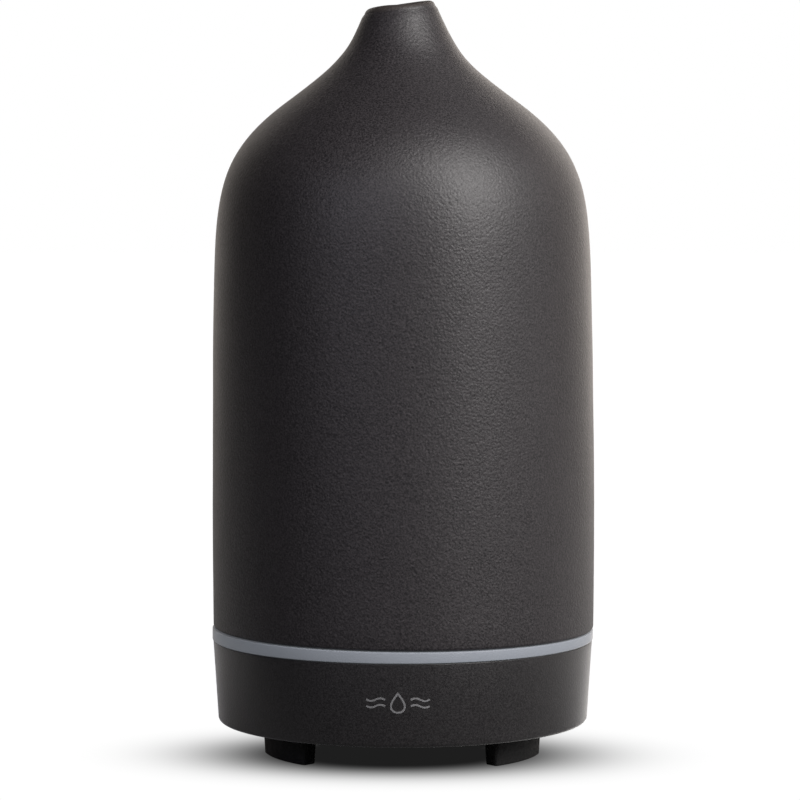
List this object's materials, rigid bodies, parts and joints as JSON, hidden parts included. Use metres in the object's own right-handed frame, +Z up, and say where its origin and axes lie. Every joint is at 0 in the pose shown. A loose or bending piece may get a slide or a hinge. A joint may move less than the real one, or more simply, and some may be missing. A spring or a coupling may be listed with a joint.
{
  "type": "ultrasonic essential oil diffuser",
  "caption": "Bottle-shaped stoneware cover with a slanted mist mouth over a frosted light ring and a round black base that holds a water reservoir, ultrasonic disc and fan.",
  "frame": {"origin": "centre of the bounding box's underside, on the surface the feet stand on", "axes": "+Z up along the cover's axis; the front faces -Y; the power inlet and buttons are at +Y"},
  "size_m": [0.0906, 0.0906, 0.178],
  "materials": {
    "stoneware": "unglazed matte charcoal stoneware with a fine leathery grain",
    "black_plastic": "fine-textured matte black moulded plastic",
    "frosted": "frosted translucent light guide",
    "white_plastic": "satin white polypropylene",
    "rubber": "matte black rubber",
    "silicone": "translucent white silicone",
    "steel": "plain steel",
    "circuit_board": "green solder mask",
    "white_board": "white solder mask",
    "chip": "black epoxy",
    "aluminium": "extruded aluminium",
    "copper": "enamelled copper winding",
    "capacitor_sleeve": "shrink sleeve",
    "red_wire": "red wire insulation",
    "black_wire": "black wire insulation",
    "led": "light emitting diode with a yellow phosphor"
  },
  "bodies": {
    "base": {"water_reservoir": "white_plastic", "transducer_seal": "silicone", "transducer_disc": "steel", "transducer_clamp": "steel", "clamp_screw_1": "steel", "clamp_screw_2": "steel", "clamp_screw_3": "steel", "base_shell": "black_plastic", "light_ring": "frosted", "bottom_cover": "black_plastic", "foot_front_left": "rubber", "foot_front_right": "rubber", "foot_rear": "rubber", "case_screw_1": "steel", "case_screw_2": "steel", "case_screw_3": "steel", "main_board": "circuit_board", "board_screw_1": "steel", "board_screw_2": "steel", "inductor": "copper", "capacitor": "capacitor_sleeve", "controller_chip": "chip", "transducer_connector": "white_plastic", "fan_connector": "white_plastic", "power_transistor": "chip", "heat_sink": "aluminium", "led_board": "white_board", "dc_jack": "black_plastic", "dc_jack_pin": "steel", "mist_switch": "chip", "light_switch": "chip", "fan_frame": "black_plastic", "fan_screw_1": "steel", "fan_screw_2": "steel", "transducer_lead_red": "red_wire", "transducer_lead_black": "black_wire", "fan_lead_red": "red_wire", "fan_lead_black": "black_wire", "led_lead_red": "red_wire", "led_lead_black": "black_wire", "led_1": "led", "led_2": "led", "led_3": "led", "led_4": "led", "led_5": "led", "led_6": "led", "led_7": "led", "led_8": "led"},
    "ceramic_cover": {"ceramic_cover": "stoneware"},
    "inner_lid": {"inner_lid": "white_plastic"},
    "mist_button": {"mist_button": "black_plastic"},
    "light_button": {"light_button": "black_plastic"},
    "fan_rotor": {"fan_rotor": "black_plastic"}
  },
  "joints": [
    {"name": "lid_lift", "type": "slide", "parent": "base", "child": "inner_lid", "axis": [0, 0, 1], "range_m": [0, 0.06]},
    {"name": "cover_lift", "type": "slide", "parent": "inner_lid", "child": "ceramic_cover", "axis": [0, 0, 1], "range_m": [0, 0.145]},
    {"name": "mist_press", "type": "slide", "parent": "base", "child": "mist_button", "axis": [0.4226, -0.9063, 0], "range_m": [0, 0.0006], "stiffness_N_per_m": 800},
    {"name": "light_press", "type": "slide", "parent": "base", "child": "light_button", "axis": [-0.4226, -0.9063, 0], "range_m": [0, 0.0006], "stiffness_N_per_m": 800},
    {"name": "fan_spin", "type": "hinge", "parent": "base", "child": "fan_rotor", "pos_m": [0.0165, -0.004, 0.0105], "axis": [0, 0, 1], "continuous": true}
  ]
}
